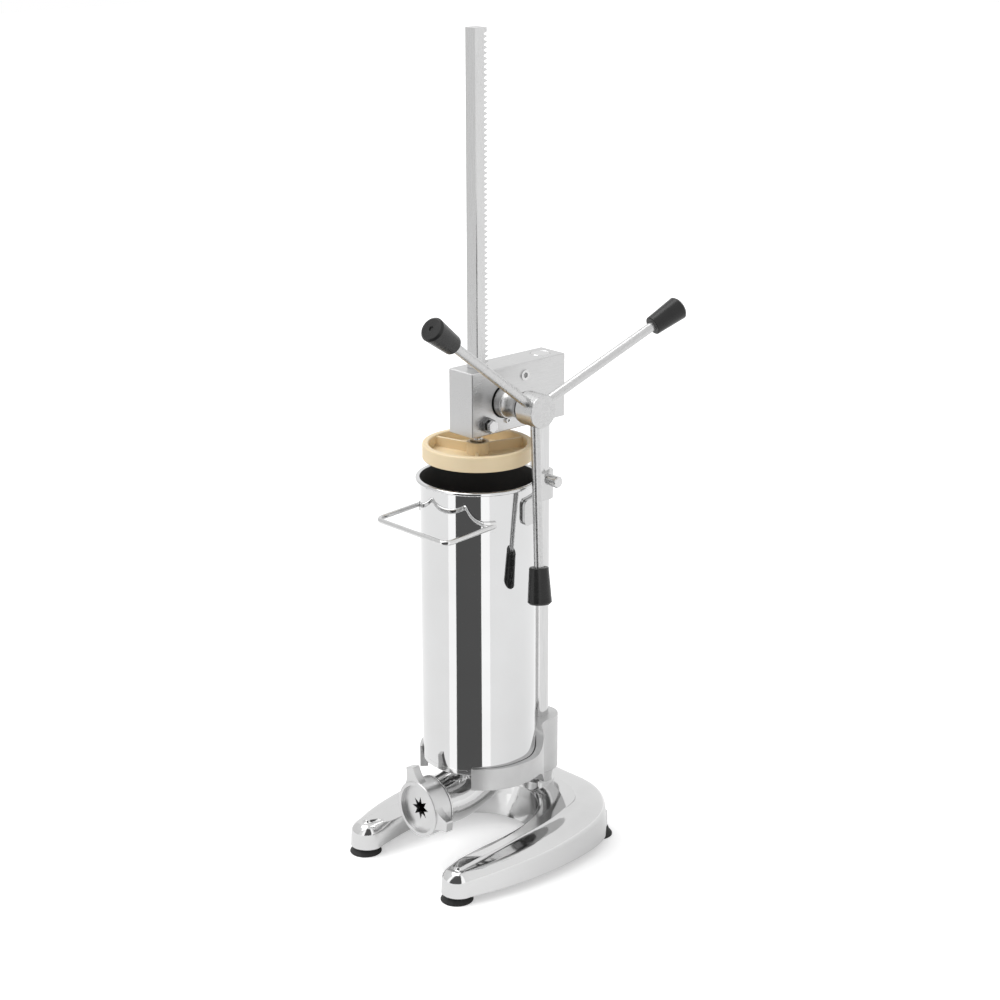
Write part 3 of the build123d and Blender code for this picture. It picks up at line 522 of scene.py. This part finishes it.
def clean(mesh, smooth_angle=math.radians(30)):
    """Merges doubles, turns faces outwards and smooths all but the sharp edges."""
    work = bmesh.new()
    work.from_mesh(mesh)
    bmesh.ops.remove_doubles(work, verts=work.verts, dist=1e-6)
    bmesh.ops.recalc_face_normals(work, faces=work.faces)
    for face in work.faces:
        face.smooth = True
    for edge in work.edges:
        if len(edge.link_faces) == 2 and edge.calc_face_angle() > smooth_angle:
            edge.smooth = False
    work.to_mesh(mesh)
    work.free()


def turned(name, profile, centre, finish, steps=256):
    """A turned piece from a closed profile of (radius, height) points, about an upright axis."""
    base_radius = 20 * mm
    source = bpy.data.meshes.new(name + " profile")
    points = [(radius - base_radius, -height, 0) for radius, height in profile]
    source.from_pydata(points, [(i, (i + 1) % len(points)) for i in range(len(points))], [])
    helper = new_object(name + " profile", source)
    mesh = run_tree(helper, turning_tree, {"Radius": base_radius, "Steps": steps, "Finish": finish})
    bpy.data.objects.remove(helper)
    mesh.transform(Matrix.Translation((centre.x, centre.y, 0)))
    clean(mesh)
    return new_object(name, mesh)


def arc_points(centre, radius, start, end, count):
    """Points along an arc from start to end, in degrees."""
    angles = [math.radians(start + (end - start) * i / count) for i in range(count + 1)]
    return [(centre[0] + radius * math.cos(a), centre[1] + radius * math.sin(a)) for a in angles]


# %% [markdown]
# ## The dough cylinder
# The tube is polished outside and has a dark lining inside. Its rim is rolled outwards
# into a bead that stiffens the mouth. The sizes come from the frame's own tube, so the
# turned one lies exactly where the old one was.

# %% Dough cylinder
tube_low, tube_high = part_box("cylinder_tube")
spout_low, spout_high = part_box("spout_casting")
tube_axis = Vector(((tube_low.x + tube_high.x) / 2, (tube_low.y + tube_high.y) / 2, 0))
tube_radius = (spout_high.x - spout_low.x) / 2
rim_radius = (tube_high.x - tube_low.x) / 2
tube_wall = 2 * mm
rim_height = 3.5 * mm
mouth_flare = 2 * mm
neck_round = 0.7 * mm
lip_round = 1.0 * mm


def tube_profile():
    """Outer wall, rolled bead and flared mouth, then down the inside."""
    bead = rim_height / 2
    top = tube_high.z
    inner = tube_radius - tube_wall
    points = [(inner, tube_low.z), (tube_radius, tube_low.z)]
    points += arc_points((tube_radius + neck_round, top - rim_height - neck_round), neck_round, 180, 90, 4)
    points += arc_points((rim_radius - bead, top - bead), bead, -90, 90, 10)
    points += arc_points((inner + mouth_flare + lip_round, top - lip_round), lip_round, 90, 180, 6)
    points += [(inner, top - 2 * mouth_flare - lip_round)]
    return points


tube = turned("dough_tube", tube_profile(), tube_axis, tube_steel, 320)
tube.data.materials.append(lining)
lining_limit = tube_radius - tube_wall / 2
for face in tube.data.polygons:
    radius = (Vector((face.center.x, face.center.y, 0)) - tube_axis).length
    if radius < lining_limit and face.center.z > tube_low.z + 0.1 * mm:
        face.material_index = 1
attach(tube, "cylinder")
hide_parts("cylinder_tube")
print("tube faces:", len(tube.data.polygons))

# %% [markdown]
# ## Suction feet
# Four rubber cups hold the press still on a bench. A real one has a neck with a groove,
# a thin flared lip and a rib inside the cup, and it is a turned shape like the cylinder,
# so the same tree makes it. One profile serves all four, each placed on its own screw.

# %% Suction feet
foot_low, foot_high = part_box("foot_front_left")
foot_radius = (foot_high.x - foot_low.x) / 2
foot_height = foot_high.z - foot_low.z


def foot_profile():
    """From the screw hole over the top, down the flared side and back inside the cup."""
    outer = [(0.19, 1.0), (0.75, 1.0), (0.765, 0.95), (0.765, 0.83), (0.725, 0.77), (0.77, 0.70),
             (0.82, 0.58), (0.90, 0.42), (0.965, 0.25), (0.998, 0.13), (0.998, 0.06), (0.965, 0.0)]
    inner = [(0.82, 0.0), (0.775, 0.08), (0.70, 0.29), (0.63, 0.48), (0.585, 0.56), (0.54, 0.565),
             (0.52, 0.49), (0.49, 0.49), (0.47, 0.565), (0.19, 0.565)]
    return [(across * foot_radius, up_share * foot_height) for across, up_share in outer + inner]


for place in ("front_left", "front_right", "rear_left", "rear_right"):
    low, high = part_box("foot_" + place)
    foot = turned("suction_foot_" + place, foot_profile(), (low + high) / 2, rubber, 72)
    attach(foot, "frame")
    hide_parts("foot_" + place)
print("foot faces:", len(foot.data.polygons))

# %% [markdown]
# ## The thread on the nozzle
# The cap screws onto the nozzle, and unscrewing it uncovers a thread. A thread is a
# ridge wound along a spiral, which is again a rule: one small round section that follows
# a spiral curve. Pitch and number of turns are inputs, and match how far the cap moves
# in one turn.

# %% The thread tree


def make_thread_tree():
    """Winds a round ridge about the Z axis, upwards from the origin."""
    tree = bpy.data.node_groups.new("wound thread", "GeometryNodeTree")
    for label, kind in (("Geometry", "NodeSocketGeometry"), ("Radius", "NodeSocketFloat"),
                        ("Pitch", "NodeSocketFloat"), ("Turns", "NodeSocketFloat"),
                        ("Ridge", "NodeSocketFloat"), ("Finish", "NodeSocketMaterial")):
        tree.interface.new_socket(label, in_out="INPUT", socket_type=kind)
    tree.interface.new_socket("Geometry", in_out="OUTPUT", socket_type="NodeSocketGeometry")
    given = tree.nodes.new("NodeGroupInput").outputs
    result = tree.nodes.new("NodeGroupOutput").inputs
    height = math_node(tree, "MULTIPLY", given["Pitch"], given["Turns"])
    path = add(tree, "GeometryNodeCurveSpiral", {"Resolution": 72, "Rotations": given["Turns"],
                                                 "Start Radius": given["Radius"],
                                                 "End Radius": given["Radius"], "Height": height})
    section = add(tree, "GeometryNodeCurvePrimitiveCircle", {"Radius": given["Ridge"], "Resolution": 8})
    wound = add(tree, "GeometryNodeCurveToMesh", {"Curve": path.outputs["Curve"],
                                                  "Profile Curve": section.outputs["Curve"],
                                                  "Fill Caps": True})
    real = add(tree, "GeometryNodeRealizeInstances", {"Geometry": wound.outputs["Mesh"]})
    done = add(tree, "GeometryNodeSetMaterial", {"Geometry": real.outputs["Geometry"],
                                                 "Material": given["Finish"]})
    tree.links.new(done.outputs["Geometry"], result["Geometry"])
    return tree


thread_tree = make_thread_tree()


def thread(name, start, turn, radius, pitch, turns, ridge, finish):
    """A thread from start, wound along the direction that turn gives to the Z axis."""
    helper = new_object(name + " start", bpy.data.meshes.new(name + " start"))
    mesh = run_tree(helper, thread_tree, {"Radius": radius, "Pitch": pitch, "Turns": turns,
                                          "Ridge": ridge, "Finish": finish})
    bpy.data.objects.remove(helper)
    mesh.transform(Matrix.Translation(start) @ turn)
    clean(mesh)
    return new_object(name, mesh)


# %% Nozzle thread
seal_low, seal_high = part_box("die_seal")
nozzle_radius = 25.85 * mm
thread_pitch = 3.0 * mm
thread_turns = 4.0
thread_set_back = 13.2 * mm
thread_ridge = 0.75 * mm
thread_sink = 0.55 * mm
thread_start = Vector((tube_axis.x, spout_low.y + thread_set_back, (seal_low.z + seal_high.z) / 2))
nozzle_thread = thread("nozzle_thread", thread_start, Matrix.Rotation(math.radians(90), 4, "X"),
                       nozzle_radius - thread_sink, thread_pitch, thread_turns, thread_ridge, fine_cast)
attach(nozzle_thread, "cylinder")
print("thread faces:", len(nozzle_thread.data.polygons), "from y", round(thread_start.y, 4))

# %% [markdown]
# ## Floor, room and lights
# Polished metal shows the room more than itself, so the room is part of the look. Here
# it is a white tent: a white floor that runs to a white horizon, one very wide and soft
# sun, and a dark card towards the camera, where a real tent has its opening. The card
# has a bright strip on each side, and gives the tube its dark stripe between two white
# bands. A large pale grey card further out keeps the left side from mirroring pure
# white. The cards are seen only in reflections. A sun lights the floor the same
# everywhere, so the floor stays an even white and keeps only the contact shadows.

# %% Floor and world
floor_size = 16.0
floor_mesh = bpy.data.meshes.new("floor")
half = floor_size / 2
floor_mesh.from_pydata([(-half, -half, 0), (half, -half, 0), (half, half, 0), (-half, half, 0)], [],
                       [(0, 1, 2, 3)])
floor = new_object("floor", floor_mesh)
floor_paint = bpy.data.materials.new("white floor")
floor_paint.use_nodes = True
floor_shader = floor_paint.node_tree.nodes["Principled BSDF"]
floor_shader.inputs["Base Color"].default_value = grey(0.86)
floor_shader.inputs["Roughness"].default_value = 1.0
floor_shader.inputs["Specular IOR Level"].default_value = 0.0
floor_shader.inputs["Emission Color"].default_value = grey(1.0)
floor.data.materials.append(floor_paint)
floor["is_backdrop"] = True


def seen_strength(tree, straight, mirrored, lighting):
    """A strength for what the camera sees, one for what metal or glass shows, and one for light."""
    rays = add(tree, "ShaderNodeLightPath").outputs
    shown = math_node(tree, "MAXIMUM", rays["Is Glossy Ray"], rays["Is Transmission Ray"])
    return math_node(tree, "MAXIMUM", remap(tree, rays["Is Camera Ray"], 0.0, 1.0, lighting, straight),
                     remap(tree, shown, 0.0, 1.0, lighting, mirrored))


floor_seen = 0.42
floor_mirrored = 0.18
floor_tree = floor_paint.node_tree
floor_glow = seen_strength(floor_tree, floor_seen, floor_mirrored, 0.0)
floor_tree.links.new(floor_glow, floor_shader.inputs["Emission Strength"])

world = bpy.data.worlds.new("white tent")
bpy.context.scene.world = world
world.use_nodes = True
sky = world.node_tree.nodes["Background"]
ambient_strength = 0.6
world.node_tree.links.new(seen_strength(world.node_tree, 1.0, 1.0, ambient_strength), sky.inputs["Strength"])
sky.inputs["Color"].default_value = grey(1.0)
print("floor", floor_size, "m, ambient light", ambient_strength)


# %% Lamps and cards


def wide_sun(name, from_azimuth, from_elevation, width, strength):
    """Sun whose light comes from an azimuth and elevation, as wide and soft as an overhead tent."""
    lamp = bpy.data.lights.new(name, "SUN")
    lamp.angle = math.radians(width)
    lamp.energy = strength
    made = bpy.data.objects.new(name, lamp)
    bpy.context.scene.collection.objects.link(made)
    turn, rise = math.radians(from_azimuth), math.radians(from_elevation)
    towards = Vector((math.sin(turn) * math.cos(rise), -math.cos(turn) * math.cos(rise), math.sin(rise)))
    made.matrix_world = towards.to_track_quat("Z", "Y").to_matrix().to_4x4()


wide_sun("overhead light", -50, 60, 50, 1.8)


def upright_card(name, first_azimuth, last_azimuth, distance, bottom, top, strength):
    """Curved card round the tube's axis, seen only in reflections."""
    steps = 24
    points, faces = [], []
    for i in range(steps + 1):
        a = math.radians(first_azimuth + (last_azimuth - first_azimuth) * i / steps)
        x = tube_axis.x + distance * math.sin(a)
        y = tube_axis.y - distance * math.cos(a)
        points += [(x, y, bottom), (x, y, top)]
        if i:
            faces.append((2 * i - 2, 2 * i, 2 * i + 1, 2 * i - 1))
    mesh = bpy.data.meshes.new(name)
    mesh.from_pydata(points, [], faces)
    card = new_object(name, mesh)
    paint = bpy.data.materials.new(name)
    paint.use_nodes = True
    glow = paint.node_tree.nodes["Principled BSDF"]
    glow.inputs["Base Color"].default_value = grey(0.0)
    glow.inputs["Specular IOR Level"].default_value = 0.0
    glow.inputs["Emission Color"].default_value = grey(1.0)
    glow.inputs["Emission Strength"].default_value = strength
    mesh.materials.append(paint)
    card.visible_camera = False
    card.visible_diffuse = False
    card.visible_shadow = False
    card.visible_transmission = False
    card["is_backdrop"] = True


card_distance = 0.27
card_bottom = 0.001
card_top = 0.60
strip_strength = 1.4
dark_from, dark_to = 6.0, 52.9
upright_card("dark card", dark_from, dark_to, card_distance, card_bottom, card_top, 0.11)
upright_card("left strip", -9.2, dark_from, card_distance, card_bottom, card_top, strip_strength)
upright_card("right strip", dark_to, 68.6, card_distance, card_bottom, card_top, strip_strength)
upright_card("grey side card", -95.0, -15.0, 1.5, 0.0, 2.2, 0.86)

# %% [markdown]
# ## Colour and the model's size
# The Standard view shows a colour about as it is written. The box of the finished model is printed.

# %% Sizes and finish
bpy.context.scene.view_settings.view_transform = "Standard"
low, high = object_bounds()
print("visual box", [round(v, 4) for v in low], [round(v, 4) for v in high])
